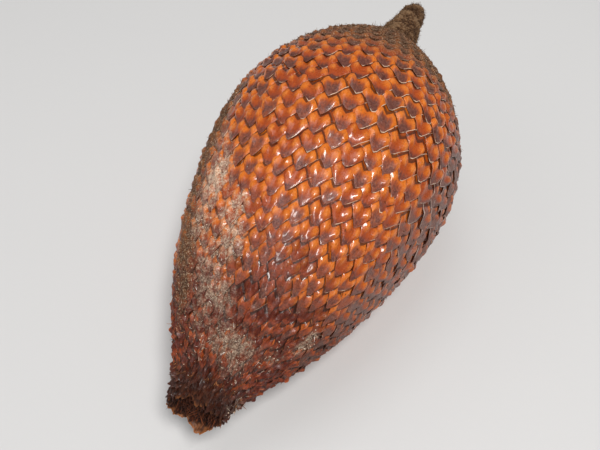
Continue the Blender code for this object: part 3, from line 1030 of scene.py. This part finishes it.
def make_stub_shreds():
    """Shreds that stand on the torn rim and lie folded inside the cup."""
    rng = np.random.default_rng(31)
    rim, core = 260, 520
    angle = rng.uniform(0, 2 * math.pi, rim + core)
    radius = np.concatenate([rng.uniform(3.5, 4.25, rim), 3.5 * np.sqrt(rng.random(core))])
    station = np.concatenate([rng.uniform(1.1, 2.6, rim), rng.uniform(1.7, 2.7, core)])
    roots = around(station, angle, radius)
    spoke = np.stack([0 * angle, np.cos(angle), np.sin(angle)], axis=-1)
    swirl = np.stack([0 * angle, -np.sin(angle), np.cos(angle)], axis=-1)
    out = np.concatenate([rng.uniform(-0.15, 0.25, rim), rng.uniform(-0.7, 0.3, core)])
    around_it = np.concatenate([rng.normal(0, 0.35, rim), rng.normal(0, 1.1, core)])
    lean = FORWARD + spoke * out[:, None] + swirl * around_it[:, None]
    bend = rng.normal(0, 0.22, (rim + core, 3))
    length = np.concatenate([rng.uniform(0.3, 0.9, rim), rng.uniform(0.8, 2.0, core)])
    radius = np.concatenate([rng.uniform(0.14, 0.34, rim), rng.uniform(0.08, 0.20, core)])
    material = fibre_finish("stalk_shred", SHRED_ROOT, SHRED_TIP, SHRED_RED, 0.45, 0.3)
    # painted shade: fewer red shreds towards the top of the cup, as the shadow under the upper rim
    red_luck_shaded_at_top = rng.random(rim + core) * (0.86 - 0.16 * np.sin(angle))
    make_fibres("stub_shreds", roots, lean, bend, length, radius, red_luck_shaded_at_top,
                material, "stalk_stub", 0.35)


# ---- calyx scrap
SCRAP_SPAN = (math.radians(-122.0), math.radians(-18.0))
SCRAP_STATIONS = (2.7, -0.6)


def make_scrap():
    """Papery scrap: a thin wrinkled sheet with a ragged free edge."""
    columns, rows = 90, 26
    across = np.linspace(0, 1, columns + 1)[:, None]
    along = np.linspace(0, 1, rows + 1)[None, :]
    angle = SCRAP_SPAN[0] + (SCRAP_SPAN[1] - SCRAP_SPAN[0]) * across + 0 * along
    reach = 0.64 + 0.34 * np.exp(-((across - 0.24) / 0.15)**2)
    line = np.concatenate([6 * across, 0 * across, 0 * across], axis=1)
    ragged = 0.16 * wander(line, 0.7, 10) + 0.07 * wander(line, 0.20, 11)
    reach = (reach + ragged[:, None]) * along
    station = SCRAP_STATIONS[0] + (SCRAP_STATIONS[1] - SCRAP_STATIONS[0]) * reach
    radius = 4.95 - 0.35 * along + 0 * across
    flat = around(station, angle, radius)
    wrinkles = 0.22 * wander(flat, 1.1, 12) + 0.10 * wander(flat, 0.4, 13)
    radius = radius + wrinkles * (0.3 + 0.7 * along)
    thick = 0.16 * (1 - 0.5 * along)
    outer = around(station, angle, radius + thick / 2).reshape(-1, 3)
    inner = around(station, angle, radius - thick / 2).reshape(-1, 3)
    tall = rows + 1
    skins = (columns + 1) * tall
    faces = []
    for c in range(columns):
        for r in range(rows):
            face = [c * tall + r, (c + 1) * tall + r, (c + 1) * tall + r + 1, c * tall + r + 1]
            faces.append(face[::-1])
            faces.append([corner + skins for corner in face])
    border = [c * tall for c in range(columns)]
    border += [columns * tall + r for r in range(rows)]
    border += [c * tall + rows for c in range(columns, 0, -1)]
    border += [r for r in range(rows, 0, -1)]
    for here, there in zip(border, border[1:] + border[:1]):
        faces.append([here, there, there + skins, here + skins])
    aside = np.tile((across + 0 * along).ravel(), 2)
    along_mark = np.tile((along + 0 * across).ravel(), 2)
    points = np.concatenate([outer, inner])
    make_piece("calyx_paper", points, faces, paper_finish(), "calyx_scrap",
               {"aside": aside, "along": along_mark})


# ---- floor, lights, camera
FLOOR_HALF = 6.0                # metres
AIR_COLOUR = (1.0, 0.99, 0.975, 1.0)
AIR_STRENGTH = 0.21
LIT_SPOT = (-0.005, 0.0, 0.02)
# name, place (m), size (m), power (W), colour
SOFTBOXES = [
    ("key_light", (-0.16, -0.17, 0.56), 0.13, 3.05, (1.0, 0.985, 0.965)),
    ("top_light", (0.03, 0.10, 0.60), 0.30, 0.7, (0.97, 0.985, 1.0)),
    ("side_light", (-0.30, 0.55, 0.50), 0.45, 0.55, (0.97, 0.98, 1.0)),
]


def make_floor():
    mesh = bpy.data.meshes.new("floor")
    signs = ((-1, -1), (1, -1), (1, 1), (-1, 1))
    corners = [(x * FLOOR_HALF, y * FLOOR_HALF, 0) for x, y in signs]
    mesh.from_pydata(corners, [], [(0, 1, 2, 3)])
    mesh.materials.append(floor_finish())
    floor = bpy.data.objects.new("floor", mesh)
    bpy.context.collection.objects.link(floor)


def add_softbox(name, place, size, power, colour):
    light = bpy.data.lights.new(name, "AREA")
    light.shape = "SQUARE"
    light.size = size
    light.energy = power
    light.color = colour
    lamp = bpy.data.objects.new(name, light)
    bpy.context.collection.objects.link(lamp)
    lamp.location = place
    lamp.rotation_euler = (Vector(LIT_SPOT) - Vector(place)).to_track_quat("-Z", "Y").to_euler()


def add_lights():
    world = bpy.data.worlds.new("studio_air")
    bpy.context.scene.world = world
    world.use_nodes = True
    air = world.node_tree.nodes["Background"]
    air.inputs["Color"].default_value = AIR_COLOUR
    air.inputs["Strength"].default_value = AIR_STRENGTH
    for softbox in SOFTBOXES:
        add_softbox(*softbox)


AIM = Vector((-11.2, 0.7, 18.0)) * MM
AIM_DISTANCE = 112.5 * MM
AIM_AZIMUTH = math.radians(-68.0)
AIM_ELEVATION = math.radians(54.0)
FOCAL_LENGTH = 42.9


def add_camera():
    data = bpy.data.cameras.new("camera")
    data.lens = FOCAL_LENGTH
    data.sensor_width = 36.0
    data.clip_start = 0.005
    camera = bpy.data.objects.new("camera", data)
    bpy.context.collection.objects.link(camera)
    flat = math.cos(AIM_ELEVATION)
    away = Vector((math.sin(AIM_AZIMUTH) * flat, -math.cos(AIM_AZIMUTH) * flat,
                   math.sin(AIM_ELEVATION)))
    camera.location = AIM + away * AIM_DISTANCE
    camera.rotation_euler = (-away).to_track_quat("-Z", "Y").to_euler()
    bpy.context.scene.camera = camera


add_camera()
add_lights()
make_floor()
make_underskin()
make_scales()
make_beak()
make_beak_hairs()
make_shoulder_felt()
make_bristles()
make_dust_threads()
make_crumbs()
make_stub_cup()
make_stub_shreds()
make_scrap()
bpy.context.scene.view_settings.view_transform = "Standard"
